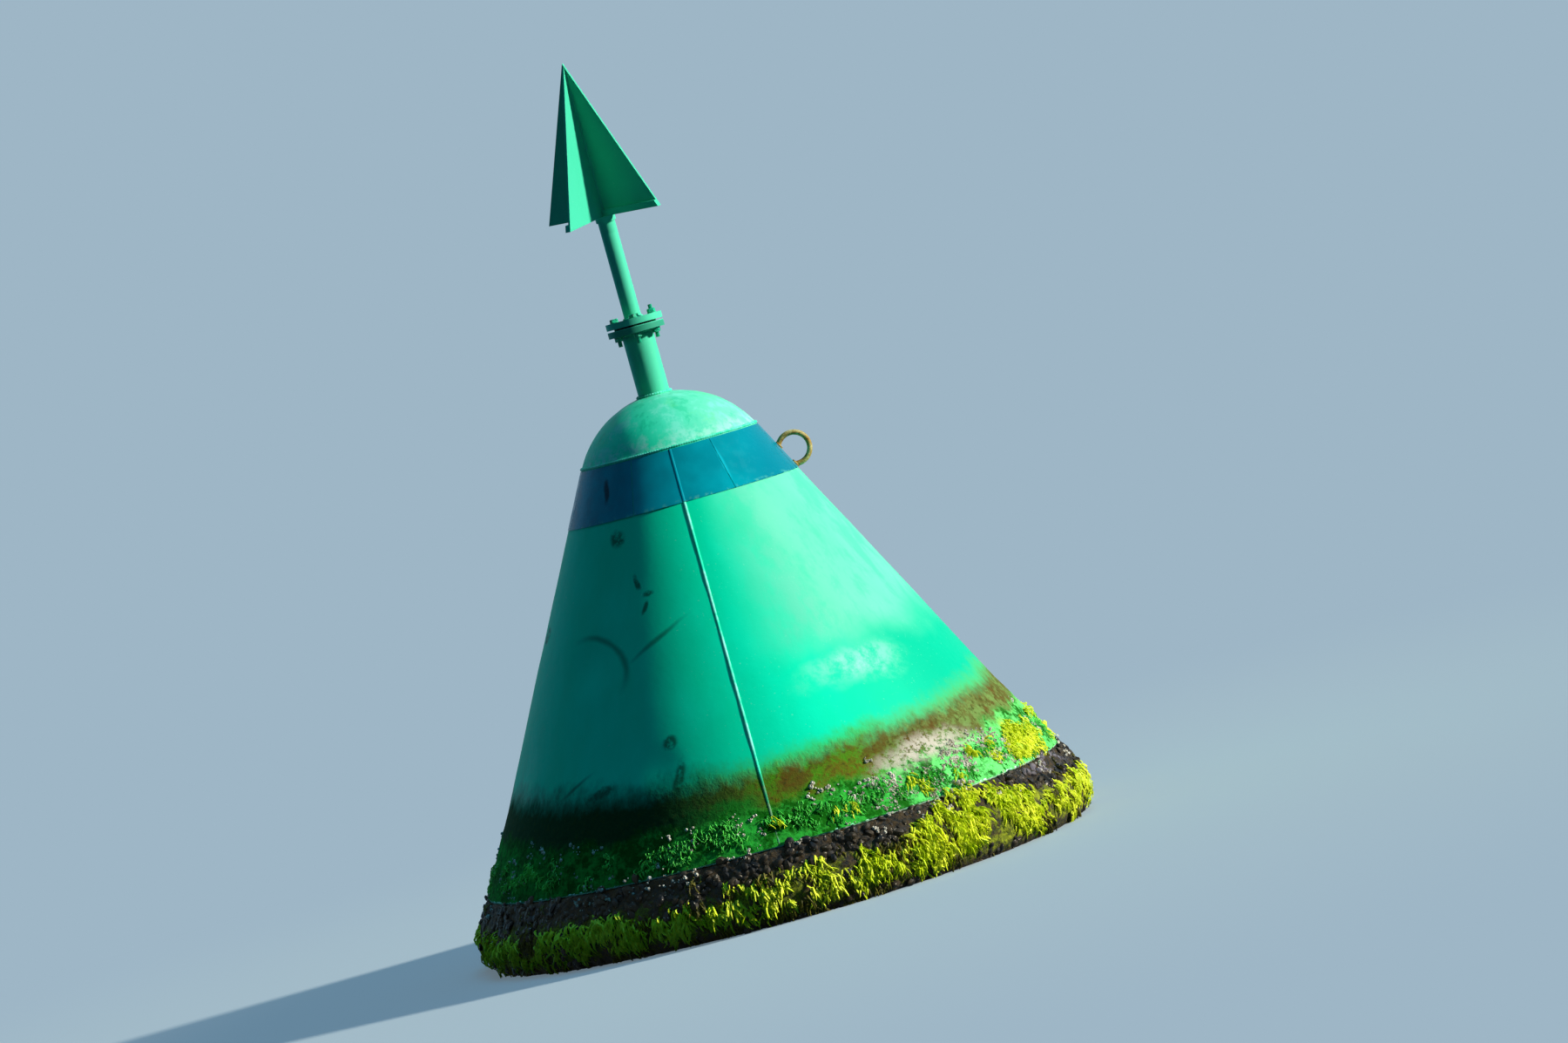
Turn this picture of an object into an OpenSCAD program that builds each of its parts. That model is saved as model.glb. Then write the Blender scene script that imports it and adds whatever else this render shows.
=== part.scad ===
// Conical steel lateral buoy with a bolted mast and a crossed-plate cone topmark.
// Lengths are millimetres. The origin is on the hull's axis at the waterline, +Z up,
// -Y is the side with the plate seam and +X the side with the lifting eye.

/* [Cone] */
// Diameter of the hull over its widest part
hull_d = 1717.6; // [1500:0.1:2000]
// Half angle of the cone, from its axis
cone_half_angle = 27.7; // [22:0.1:32]
// Height above the waterline of the cone plate's lower edge
lip_z = 197; // [170:1:260]
// Step between the cone plate and the girth belt under it
lap_step = 8; // [5:0.5:14]
// Gap between the cone plate's edge and the top of the belt
lap_fit = 0.3; // [0.1:0.1:0.5]
// Width of the seam strip down the front of the cone
seam_w = 10; // [6:0.5:20]
// Thickness of that strip
seam_t = 4; // [3:0.5:8]

/* [Head and mast] */
// Radius of the spherical head
dome_r = 284; // [240:1:320]
// Outer diameter of the mast stub
stub_od = 88.9; // [76:0.1:114]
// Height of the stub, from the top of the head to the mast flanges
stub_h = 176; // [120:1:260]
// Diameter of the two mast flanges
flange_od = 160; // [150:1:200]
// Thickness of each flange
flange_t = 18; // [12:1:24]
// Thickness of the gasket between them
gasket_t = 5; // [2:0.5:8]
// Diameter of the circle of bolts
bolt_circle_d = 124; // [120:1:132]
// Diameter of each bolt hole
bolt_hole_d = 14; // [9:0.5:16]
// Number of bolts
bolt_count = 6; // [4:1:8]
// Outer diameter of the mast pole
pole_od = 48.3; // [42:0.1:60]
// Straight length of the pole up to its kink
pole_straight = 245; // [150:1:320]
// Angle by which the pole's head is knocked towards -Y
pole_kink = 8; // [2:0.5:15]
// Length of the pole past the kink, up to the topmark
pole_head = 50; // [40:1:80]

/* [Topmark] */
// Height of the topmark cone
mark_h = 437; // [350:1:550]
// Half width of each of its plates at the base
mark_w = 188; // [140:1:240]
// Thickness of the plates
mark_t = 6; // [4:0.5:10]
// Turn of the plates about the mast
mark_turn = -34; // [-60:1:-10]
// Height of the stiffening bars along the base
mark_bar_h = 18; // [12:1:30]
// Depth of those bars
mark_bar_d = 10; // [6:1:16]
// Thickness of the wall of the collar under the plates
collar_t = 4; // [3:0.5:10]
// Height of that collar
collar_h = 16; // [12:1:24]
// Gap between the pole and its collar
collar_fit = 0.2; // [0.1:0.05:0.5]

/* [Reflective band] */
// Height of the band
band_h = 147; // [80:1:220]
// Distance of its upper edge below the head's weld
band_drop = 4; // [2:0.5:20]
// Thickness of the band's sheets
band_t = 1.5; // [1:0.1:3]
// Gap between the sheets and the plate that they are stuck on
band_fit = 0.3; // [0.1:0.1:0.5]
// Number of sheets round the cone
band_sheets = 7; // [4:1:10]
// Gap between neighbouring sheets
band_gap = 2; // [1:0.5:6]
// Turn of the first gap from +X
band_turn = -64; // [-80:1:-40]

/* [Lifting eye] */
// Diameter of the eye's round bar
eye_bar_d = 15; // [12:0.5:20]
// Radius of the ring, to the middle of its bar
eye_ring_r = 44; // [36:0.5:52]
// Distance of the eye's middle below the head's weld
eye_drop = 111; // [60:1:160]
// Distance of the ring's centre from the shell
eye_out = 28; // [10:1:40]

/* [Girth belt and bottom] */
// Radius of the knuckle between belt and bottom
knuckle_r = 110; // [80:1:130]
// Height of the knuckle's centre
knuckle_z = 75; // [60:1:90]
// Slope of the bottom, below the horizontal
bottom_pitch = 36; // [30:1:42]

/* [Tail and ballast] */
// Outer diameter of the tail tube
tail_od = 219.1; // [190:0.1:260]
// Depth down the tail tube from the gussets to the top of the ballast stack
tail_depth = 38.6; // [20:0.1:220]
// Outer diameter of the cast ballast discs
ballast_od = 440; // [380:1:520]
// Thickness of each disc
ballast_t = 40; // [25:1:55]
// Gap between the discs' bore and the tail tube
ballast_fit = 1; // [0.5:0.5:3]
// Outer diameter of the two plates that clamp the discs
clamp_od = 380; // [350:1:430]
// Thickness of the clamp plates
clamp_t = 16; // [12:1:24]
// Diameter of the studs through the discs
stud_d = 20; // [16:1:24]
// Number of studs
stud_count = 4; // [3:1:6]
// Gap round each stud in its holes
stud_fit = 2; // [1:0.5:3]
// Height of the studs' nuts
nut_h = 16; // [12:1:20]
// Depth of the gussets between the tail tube and the bottom, from the tube
gusset_depth = 150; // [100:1:200]
// Height of the gussets, down the tube
gusset_h = 160; // [100:1:200]
// Thickness of the gussets
gusset_t = 12; // [8:1:16]
// Number of gussets
gusset_count = 4; // [3:1:6]

/* [Mooring] */
// Radius at which the bridle lugs hang under the bottom
bridle_r = 560; // [480:1:640]
// Bore of every mooring lug
lug_bore_d = 38; // [34:1:44]
// Radius of the round nose of the lugs
lug_nose_r = 48; // [42:1:60]
// Thickness of the lugs
lug_t = 26; // [20:1:34]
// Distance of the bores below what carries the lugs
lug_drop = 75; // [65:1:110]
// Width of the lugs where they are welded on
lug_root_w = 160; // [120:1:220]
// Bar diameter of the shackle's bow
bow_d = 26; // [20:0.5:30]
// Diameter of the shackle's pin
shackle_pin_d = 32; // [28:0.5:36]
// Clear gap between the lug and each of the shackle's eyes
bow_gap = 7; // [6:0.5:12]
// Outer radius of the shackle's eyes
bow_eye_r = 30; // [26:0.5:36]
// Gap left between the hanging pin and the bore it bears on
seat_gap = 0.3; // [0.1:0.1:1]
// Length of the shackle's legs, from the pin to the round of the bow
bow_leg = 78; // [70:1:110]
// Gap between the pin and the bores of the shackle's eyes
pin_fit = 0.5; // [0.3:0.1:1]
// Diameter of the pin's head and of its nut
pin_head_d = 52; // [46:1:60]
// Thickness of the pin's head and of its nut
pin_head_t = 14; // [10:1:20]

/* [Anodes] */
// Length of each anode
anode_l = 200; // [140:1:260]
// Width of each anode
anode_w = 62; // [45:1:80]
// Thickness of each anode
anode_t = 34; // [24:1:44]
// Width of the steel strap that the anode is cast on
strap_w = 24; // [16:1:40]
// Thickness of that strap
strap_t = 6; // [4:0.5:8]
// Length of the strap's ears past each end of the anode
strap_ear = 34; // [20:1:50]
// Radius of the middle of the anodes
anode_r = 430; // [400:1:460]

/* [Hidden] */
$fn = 96;

// Tiny overlap that keeps a cut from leaving a skin
eps = 0.5;

// Discs in the ballast stack, one node each
ballast_count = 3;

// The knuckle and the belt, whose cone line lies one lap step inside the cone plate
cone_slope = tan(cone_half_angle);
belt_inset = lap_step / cos(cone_half_angle);
knuckle_c = hull_d / 2 - knuckle_r;
knuckle_top_z = knuckle_z + knuckle_r * sin(cone_half_angle);
knuckle_top_r = knuckle_c + knuckle_r * cos(cone_half_angle);
knuckle_low_z = knuckle_z - knuckle_r * cos(bottom_pitch);
knuckle_low_r = knuckle_c + knuckle_r * sin(bottom_pitch);
belt_top_z = lip_z - lap_fit;
function belt_r(z) = knuckle_top_r - (z - knuckle_top_z) * cone_slope;

// The cone and the round head that its top is tangent to
function cone_r(z) = belt_r(z) + belt_inset;
lip_r = cone_r(lip_z);
dome_seat_r = dome_r * cos(cone_half_angle);
dome_seat_z = lip_z + (lip_r - dome_seat_r) / cone_slope;
dome_z = dome_seat_z - dome_r * sin(cone_half_angle);
dome_top_z = dome_z + dome_r;
band_top_z = dome_seat_z - band_drop;
band_low_z = band_top_z - band_h;
eye_z = dome_seat_z - eye_drop;
band_foot = band_fit / cos(cone_half_angle);
band_face = band_foot + band_t / cos(cone_half_angle);

// The bottom runs straight down from the knuckle to the tail tube
function bottom_z(r) = knuckle_low_z - (knuckle_low_r - r) * tan(bottom_pitch);
tail_r = tail_od / 2;
tail_top_z = bottom_z(tail_r);

// The mast
stub_r = stub_od / 2;
flange_z = dome_top_z + stub_h;
gasket_z = flange_z + flange_t;
pole_flange_z = gasket_z + gasket_t;
pole_z = pole_flange_z + flange_t;
kink_z = pole_z + pole_straight;
hole_pitch = 360 / bolt_count;

// The ballast stack hangs under the gussets, on the end plate at the tail's foot
stud_top_z = tail_top_z - gusset_h - tail_depth;
clamp_ring_z = stud_top_z - clamp_t;
tail_foot_z = clamp_ring_z - ballast_count * ballast_t;
end_plate_z = tail_foot_z - clamp_t;
function disc_z(i) = tail_foot_z + i * ballast_t;
stud_circle_r = (tail_r + clamp_od / 2) / 2;
stud_nut_d = 1.8 * stud_d;

// The shackle's pin hangs on the lower side of the mooring lug's bore
lug_bore_z = end_plate_z - lug_drop;
pin_z = lug_bore_z - (lug_bore_d - shackle_pin_d) / 2 + seat_gap;
bow_half = lug_t / 2 + bow_gap + bow_d / 2;
pin_half = bow_half + bow_d / 2;
pin_end = pin_head_t / 2;

STEEL_GREEN = [0.05, 0.72, 0.5];
BAND_TEAL = [0, 0.4, 0.45];
EYE_CREAM = [0.72, 0.68, 0.36];
FOULED = [0.3, 0.36, 0.1];
UNDERWATER = [0.28, 0.2, 0.14];
CAST_IRON = [0.22, 0.2, 0.19];
ZINC = [0.6, 0.62, 0.62];
BARE_STEEL = [0.4, 0.4, 0.42];
RUBBER = [0.08, 0.08, 0.08];

// Turns the drawing's Z along the cone's surface, X away from it, at one height
module on_cone(z) {
    translate([cone_r(z), 0, z])
        rotate([0, -cone_half_angle, 0])
            children();
}

// Turns the drawing's X out of the hull's bottom at one radius
module on_bottom(r) {
    translate([r, 0, bottom_z(r)])
        rotate([0, 90 - bottom_pitch, 0])
            children();
}

// Moves from the hull's frame to the topmark's, past the kink in the pole
module topmark_frame() {
    translate([0, 0, kink_z])
        rotate([pole_kink, 0, 0])
            translate([0, 0, pole_head])
                rotate([0, 0, mark_turn])
                    children();
}

// Keeps what lies above (side 1) or below (side -1) the mitre at the kink
module mitre_half(side) {
    reach = 2 * (pole_straight + pole_head);
    intersection() {
        children();
        translate([0, 0, kink_z])
            rotate([pole_kink / 2, 0, 0])
                translate([-reach / 2, -reach / 2, side > 0 ? 0 : -reach])
                    cube(reach);
    }
}

module dome_head() {
    color(STEEL_GREEN)
        intersection() {
            translate([0, 0, dome_z])
                sphere(r = dome_r);
            translate([0, 0, dome_seat_z])
                cylinder(r = dome_r, h = dome_r);
        }
}

module cone_shell() {
    color(STEEL_GREEN)
        translate([0, 0, lip_z])
            cylinder(r1 = lip_r, r2 = dome_seat_r, h = dome_seat_z - lip_z);
}

// Strip welded over the joint of the cone plate, from its lower edge to the band
module cone_seam() {
    low_z = lip_z + seam_t * sin(cone_half_angle);
    strip_l = (band_low_z - low_z) / cos(cone_half_angle) - seam_t;
    color(STEEL_GREEN)
        difference() {
            rotate([0, 0, -90])
                on_cone(low_z)
                    translate([-seam_t, -seam_w / 2, 0])
                        cube([2 * seam_t, seam_w, strip_l]);
            cylinder(r1 = cone_r(0), r2 = dome_seat_r, h = dome_seat_z, $fn = 720);
        }
}

// Reflective sheets wrapped round the top of the cone, with a gap at each joint
module reflective_band() {
    sheet_turn = 360 / band_sheets;
    gap_turn = band_gap / cone_r(band_low_z) * 180 / PI;
    low_r = cone_r(band_low_z);
    top_r = cone_r(band_top_z);
    color(BAND_TEAL) {
        for (i = [0 : band_sheets - 1])
            rotate([0, 0, band_turn + i * sheet_turn + gap_turn / 2])
                rotate_extrude(angle = sheet_turn - gap_turn)
                    polygon([
                        [low_r + band_foot, band_low_z], [low_r + band_face, band_low_z],
                        [top_r + band_face, band_top_z], [top_r + band_foot, band_top_z]
                    ]);
    }
}

// Belt plate under the cone plate's edge
module girth_belt() {
    color(FOULED)
        translate([0, 0, knuckle_top_z])
            cylinder(r1 = knuckle_top_r, r2 = belt_r(belt_top_z), h = belt_top_z - knuckle_top_z);
}

// Rolled plate that rounds the belt into the bottom, with the hull inside it
module knuckle_ring() {
    knuckle_h = knuckle_top_z - knuckle_low_z;
    core_r = knuckle_c + 0.4 * knuckle_r;
    color(FOULED) {
        translate([0, 0, knuckle_low_z])
            cylinder(r = core_r, h = knuckle_h);
        rotate_extrude()
            intersection() {
                translate([knuckle_c, knuckle_z])
                    circle(r = knuckle_r);
                translate([knuckle_c, knuckle_low_z])
                    square([2 * knuckle_r, knuckle_h]);
            }
    }
}

module bottom_dish() {
    color(UNDERWATER)
        translate([0, 0, tail_top_z])
            cylinder(r1 = tail_r, r2 = knuckle_low_r, h = knuckle_low_z - tail_top_z);
}

// Stub of pipe whose foot is cut to the round of the head
module mast_stub() {
    color(STEEL_GREEN)
        difference() {
            translate([0, 0, dome_z])
                cylinder(r = stub_r, h = flange_z - dome_z);
            translate([0, 0, dome_z])
                sphere(r = dome_r);
        }
}

// Round plate with a circle of bolt holes
module flange_plate(z, thickness) {
    translate([0, 0, z])
        difference() {
            cylinder(d = flange_od, h = thickness);
            for (i = [0 : bolt_count - 1])
                rotate([0, 0, (i + 0.5) * hole_pitch])
                    translate([bolt_circle_d / 2, 0, -eps])
                        cylinder(d = bolt_hole_d, h = thickness + 2 * eps, $fn = 32);
        }
}

module stub_flange() {
    color(STEEL_GREEN)
        flange_plate(flange_z, flange_t);
}

// Ring gasket that stays inside the circle of bolts
module flange_gasket() {
    gasket_r = (bolt_circle_d - bolt_hole_d) / 2 - gasket_t;
    color(RUBBER)
        translate([0, 0, gasket_z])
            difference() {
                cylinder(r = gasket_r, h = gasket_t);
                translate([0, 0, -eps])
                    cylinder(d = pole_od, h = gasket_t + 2 * eps);
            }
}

module pole_flange() {
    color(STEEL_GREEN)
        flange_plate(pole_flange_z, flange_t);
}

// Straight run of the pole, which stands on its flange
module mast_pole() {
    color(STEEL_GREEN)
        mitre_half(-1)
            translate([0, 0, pole_z])
                cylinder(d = pole_od, h = pole_straight + pole_od);
}

// Head of the pole, past the kink that a knock has left close under the topmark
module pole_top() {
    color(STEEL_GREEN)
        mitre_half(1)
            topmark_frame()
                translate([0, 0, -pole_head - pole_od])
                    cylinder(d = pole_od, h = pole_head + pole_od);
}

module topmark_collar() {
    bore_d = pole_od + 2 * collar_fit;
    color(STEEL_GREEN)
        topmark_frame()
            translate([0, 0, -collar_h])
                difference() {
                    cylinder(d = bore_d + 2 * collar_t, h = collar_h);
                    translate([0, 0, -eps])
                        cylinder(d = bore_d, h = collar_h + 2 * eps);
                }
}

// Upright plate drawn in X and Z and centred on Y
module upright(points) {
    translate([0, mark_t / 2, 0])
        rotate([90, 0, 0])
            linear_extrude(mark_t)
                polygon(points);
}

// Half plate from the middle plate's face out to the base corner
module topmark_wing(turn) {
    inner = mark_t / 2;
    color(STEEL_GREEN)
        topmark_frame()
            rotate([0, 0, turn])
                upright([[inner, 0], [mark_w, 0], [inner, mark_h * (1 - inner / mark_w)]]);
}

module topmark_plate() {
    color(STEEL_GREEN)
        topmark_frame()
            upright([[-mark_w, 0], [mark_w, 0], [0, mark_h]]);
}

module topmark_wing_front() {
    topmark_wing(-90);
}

module topmark_wing_back() {
    topmark_wing(90);
}

// Bar along the foot of one half plate, its outer end cut to the plate's slope
module topmark_bar(i) {
    inner = mark_t / 2;
    slope = mark_w / mark_h;
    color(STEEL_GREEN)
        topmark_frame()
            rotate([0, 0, (i - 1) * 90])
                translate([0, -inner, 0])
                    rotate([90, 0, 0])
                        linear_extrude(mark_bar_d)
                            polygon([
                                [inner, 0], [mark_w, 0],
                                [mark_w - mark_bar_h * slope, mark_bar_h], [inner, mark_bar_h]
                            ]);
}

// Ring of round bar in the plane of the axis, its inner side cut to the band's surface
module lifting_eye() {
    color(EYE_CREAM)
        difference() {
            on_cone(eye_z)
                translate([eye_out, 0, 0])
                    rotate([90, 0, 0])
                        rotate_extrude()
                            translate([eye_ring_r, 0])
                                circle(d = eye_bar_d, $fn = 32);
            cylinder(
                r1 = cone_r(0) + band_face, r2 = dome_seat_r + band_face, h = dome_seat_z,
                $fn = 360
            );
        }
}

module tail_tube() {
    color(UNDERWATER)
        translate([0, 0, tail_foot_z])
            cylinder(r = tail_r, h = tail_top_z - tail_foot_z);
}

// Plates in the corner between the tail tube and the bottom
module tail_gussets() {
    outer_r = tail_r + gusset_depth;
    color(UNDERWATER)
        for (i = [0 : gusset_count - 1])
            rotate([0, 0, (i + 0.5) * 360 / gusset_count])
                translate([0, gusset_t / 2, 0])
                    rotate([90, 0, 0])
                        linear_extrude(gusset_t)
                            polygon([
                                [tail_r, tail_top_z], [outer_r, bottom_z(outer_r)],
                                [outer_r, bottom_z(outer_r) - gusset_t],
                                [tail_r, tail_top_z - gusset_h]
                            ]);
}

// Holes for the studs, through a plate that stands on z = 0
module stud_holes(thickness) {
    for (i = [0 : stud_count - 1])
        rotate([0, 0, i * 360 / stud_count])
            translate([stud_circle_r, 0, -eps])
                cylinder(d = stud_d + 2 * stud_fit, h = thickness + 2 * eps, $fn = 32);
}

// Ring that slides on the tail tube, with the stud holes
module studded_ring(outer_d, thickness, bore_r) {
    difference() {
        cylinder(d = outer_d, h = thickness);
        translate([0, 0, -eps])
            cylinder(r = bore_r, h = thickness + 2 * eps);
        stud_holes(thickness);
    }
}

module clamp_ring() {
    color(UNDERWATER)
        translate([0, 0, clamp_ring_z])
            studded_ring(clamp_od, clamp_t, tail_r);
}

module ballast_disc(i) {
    color(CAST_IRON)
        translate([0, 0, disc_z(i - 1)])
            studded_ring(ballast_od, ballast_t, tail_r + ballast_fit);
}

module tail_end_plate() {
    color(UNDERWATER)
        translate([0, 0, end_plate_z])
            difference() {
                cylinder(d = clamp_od, h = clamp_t);
                stud_holes(clamp_t);
            }
}

// Studs that pass through the whole stack, with a nut on both ends
module ballast_studs() {
    color(BARE_STEEL)
        for (i = [0 : stud_count - 1])
            rotate([0, 0, i * 360 / stud_count])
                translate([stud_circle_r, 0, end_plate_z]) {
                    translate([0, 0, -2 * nut_h])
                        cylinder(d = stud_d, h = stud_top_z - end_plate_z + 4 * nut_h, $fn = 32);
                    translate([0, 0, -nut_h])
                        cylinder(d = stud_nut_d, h = nut_h, $fn = 6);
                    translate([0, 0, stud_top_z - end_plate_z])
                        cylinder(d = stud_nut_d, h = nut_h, $fn = 6);
                }
}

// Plate lug with its bore at the origin, welded on along a line that may slope
module lug(pitch) {
    half = lug_root_w / 2;
    rise = half * tan(pitch);
    translate([0, lug_t / 2, 0])
        rotate([90, 0, 0])
            linear_extrude(lug_t)
                difference() {
                    union() {
                        circle(r = lug_nose_r);
                        polygon([
                            [-half, lug_drop - rise], [-lug_nose_r, 0],
                            [lug_nose_r, 0], [half, lug_drop + rise]
                        ]);
                    }
                    circle(d = lug_bore_d);
                }
}

module mooring_lug() {
    color(BARE_STEEL)
        translate([0, 0, lug_bore_z])
            lug(0);
}

module bridle_lug_right() {
    color(UNDERWATER)
        translate([bridle_r, 0, bottom_z(bridle_r) - lug_drop])
            lug(bottom_pitch);
}

module bridle_lug_left() {
    mirror([1, 0, 0])
        bridle_lug_right();
}

// Zinc block cast on a steel strap, which is welded to the bottom between the lugs
module anode(i) {
    top_w = anode_w - anode_t / 2;
    top_l = anode_l - anode_t;
    strap_l = anode_l + 2 * strap_ear;
    color(ZINC)
        rotate([0, 0, 45 + (i - 1) * 90])
            on_bottom(anode_r) {
                hull() {
                    translate([0, -anode_w / 2, -anode_l / 2])
                        cube([strap_t, anode_w, anode_l]);
                    translate([strap_t, -top_w / 2, -top_l / 2])
                        cube([anode_t - strap_t, top_w, top_l]);
                }
                translate([0, -strap_w / 2, -strap_l / 2])
                    cube([strap_t, strap_w, strap_l]);
            }
}

// Round bar bent into a bow, ending in two eyes that carry the pin
module shackle_bow() {
    color(BARE_STEEL)
        translate([0, 0, pin_z])
            difference() {
                union() {
                    for (side = [-1, 1]) {
                        translate([0, side * bow_half - bow_d / 2, 0])
                            rotate([-90, 0, 0])
                                cylinder(r = bow_eye_r, h = bow_d);
                        translate([0, side * bow_half, -bow_leg])
                            cylinder(d = bow_d, h = bow_leg);
                    }
                    translate([0, 0, -bow_leg])
                        rotate([0, 90, 0])
                            rotate([0, 0, -90])
                                rotate_extrude(angle = 180)
                                    translate([bow_half, 0])
                                        circle(d = bow_d);
                }
                rotate([-90, 0, 0])
                    translate([0, 0, -2 * pin_half])
                        cylinder(d = shackle_pin_d + 2 * pin_fit, h = 4 * pin_half);
            }
}

module shackle_pin() {
    color(BARE_STEEL)
        translate([0, 0, pin_z])
            rotate([-90, 0, 0]) {
                translate([0, 0, -pin_half])
                    cylinder(d = shackle_pin_d, h = 2 * pin_half + pin_head_t + pin_end);
                translate([0, 0, -pin_half - pin_head_t])
                    cylinder(d = pin_head_d, h = pin_head_t);
            }
}

module shackle_nut() {
    color(BARE_STEEL)
        translate([0, pin_half, pin_z])
            rotate([-90, 0, 0])
                difference() {
                    cylinder(d = pin_head_d, h = pin_head_t, $fn = 6);
                    translate([0, 0, -eps])
                        cylinder(d = shackle_pin_d, h = pin_head_t + 2 * eps);
                }
}

dome_head();
cone_shell();
cone_seam();
reflective_band();
girth_belt();
knuckle_ring();
bottom_dish();
mast_stub();
stub_flange();
flange_gasket();
pole_flange();
mast_pole();
pole_top();
topmark_collar();
topmark_plate();
topmark_wing_front();
topmark_wing_back();
topmark_bar(1);  // topmark_bar_1
topmark_bar(2);  // topmark_bar_2
topmark_bar(3);  // topmark_bar_3
topmark_bar(4);  // topmark_bar_4
lifting_eye();
tail_tube();
tail_gussets();
clamp_ring();
ballast_disc(1);  // ballast_disc_1
ballast_disc(2);  // ballast_disc_2
ballast_disc(3);  // ballast_disc_3
tail_end_plate();
ballast_studs();
mooring_lug();
bridle_lug_left();
bridle_lug_right();
anode(1);  // anode_1
anode(2);  // anode_2
anode(3);  // anode_3
anode(4);  // anode_4
shackle_bow();
shackle_pin();
shackle_nut();
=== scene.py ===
"""Looks of the conical navigation buoy: paint, weathering, fouling, welds and bolts.

Everything is in metres in the hull's own frame: the origin is on the axis at the
waterline, +Z up the axis, -Y the side of the plate seam, +X the side of the lifting eye.
A turn is an azimuth about Z from +X, and from_seam an azimuth from the seam, both in
radians where nothing else is said.
"""
import random
from math import acos, atan, atan2, cos, degrees, exp, pi, radians, sin, sqrt

import bpy
import numpy as np
from mathutils import Matrix, Vector, noise


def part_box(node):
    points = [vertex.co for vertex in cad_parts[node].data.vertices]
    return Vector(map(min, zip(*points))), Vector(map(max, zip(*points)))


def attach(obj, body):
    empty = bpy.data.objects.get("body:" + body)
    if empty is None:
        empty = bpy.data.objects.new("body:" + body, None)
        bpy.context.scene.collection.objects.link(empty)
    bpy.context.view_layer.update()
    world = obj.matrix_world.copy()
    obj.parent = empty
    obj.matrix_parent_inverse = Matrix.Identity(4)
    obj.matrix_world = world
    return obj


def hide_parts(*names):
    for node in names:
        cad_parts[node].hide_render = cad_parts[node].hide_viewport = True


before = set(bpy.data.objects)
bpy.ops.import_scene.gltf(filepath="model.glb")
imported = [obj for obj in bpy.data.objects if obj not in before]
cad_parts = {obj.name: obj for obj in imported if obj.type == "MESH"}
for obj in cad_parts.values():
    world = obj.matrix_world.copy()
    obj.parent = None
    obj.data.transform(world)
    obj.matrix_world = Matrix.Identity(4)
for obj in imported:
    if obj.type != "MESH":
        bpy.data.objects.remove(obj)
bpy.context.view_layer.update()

SCENE = bpy.context.scene

# Sizes read from the frame
LIP_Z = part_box("girth_belt")[1].z
LIP_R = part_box("cone_shell")[1].x
SEAT_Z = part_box("dome_head")[0].z
SEAT_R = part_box("dome_head")[1].x
HEAD_TOP_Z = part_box("dome_head")[1].z
HULL_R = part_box("knuckle_ring")[1].x
KNUCKLE_TOP_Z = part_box("girth_belt")[0].z
KNUCKLE_TOP_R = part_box("girth_belt")[1].x
KNUCKLE_LOW_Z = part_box("knuckle_ring")[0].z
BAND_LOW_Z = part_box("reflective_band")[0].z
BAND_TOP_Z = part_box("reflective_band")[1].z
STUB_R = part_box("mast_stub")[1].x
FLANGE_LOW_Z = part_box("stub_flange")[0].z
FLANGE_TOP_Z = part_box("pole_flange")[1].z
GASKET_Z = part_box("flange_gasket")[0].z
POLE_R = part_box("mast_pole")[1].x

# The cone and the knuckle, worked out from those sizes
SLOPE = (LIP_R - SEAT_R) / (SEAT_Z - LIP_Z)
HALF_ANGLE = atan(SLOPE)
KNUCKLE_R = (HULL_R - KNUCKLE_TOP_R) / (1 - cos(HALF_ANGLE))
KNUCKLE_C = HULL_R - KNUCKLE_R
KNUCKLE_Z = KNUCKLE_TOP_Z - KNUCKLE_R * sin(HALF_ANGLE)
HEAD_R = SEAT_R / cos(HALF_ANGLE)
HEAD_Z = HEAD_TOP_Z - HEAD_R

# Sizes of the part that the boxes don't show
BOLT_CIRCLE_R = 0.062
BOLT_COUNT = 6
BAND_FACE = 0.0018
EYE_DROP = 0.111
EYE_OUT = 0.028
EYE_RING_R = 0.044
EYE_BAR_R = 0.0075
KINK_Z = FLANGE_TOP_Z + 0.245
POLE_KINK = radians(8)
POLE_HEAD = 0.05
MARK_TURN = radians(-34)
MARK_H = 0.437
MARK_T = 0.006
FRONT = -pi / 2

# The camera: its place, the heel of the buoy in the picture, and the framing
CAMERA_PLACE = Vector((0, -15.5, 1.6))
HEEL = radians(15.5)
AIM = Vector((0.253, 0, 0.988))
LENS = 128

# The low sun, the sky over the heeled buoy and the glow of the sea behind, in the hull's
# frame: name, azimuth, height, strength, width in degrees, colour
LAMPS = [
    ("key_lamp", radians(-11), radians(22), 5.1, 4, (1, 0.985, 0.93)),
    ("sky_lamp", 0.0, pi / 2 - HEEL, 1.0, 50, (0.08, 0.52, 1.0)),
    ("glow_lamp", radians(138), radians(8), 0.26, 25, (0.02, 0.52, 1.0)),
]

# Black scuffs: azimuth in degrees, height, half width, half height, lean in degrees
SCUFFS = [
    (-133.0, 1.205, 0.012, 0.040, 8),
    (-124.5, 1.077, 0.030, 0.034, 30),
    (-115.5, 0.950, 0.010, 0.032, 20),
    (-111.5, 0.912, 0.024, 0.012, 10),
    (-113.0, 0.880, 0.010, 0.024, -20),
    (-108.9, 0.524, 0.028, 0.026, 0),
    (-107.7, 0.425, 0.022, 0.075, -14),
    (-110.5, 0.370, 0.070, 0.050, 0),
    (-128.0, 0.435, 0.070, 0.020, 16),
    (62.0, 0.700, 0.050, 0.030, 10),
    (150.0, 0.620, 0.035, 0.080, -20),
    (-170.0, 0.860, 0.040, 0.030, 30),
]
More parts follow.
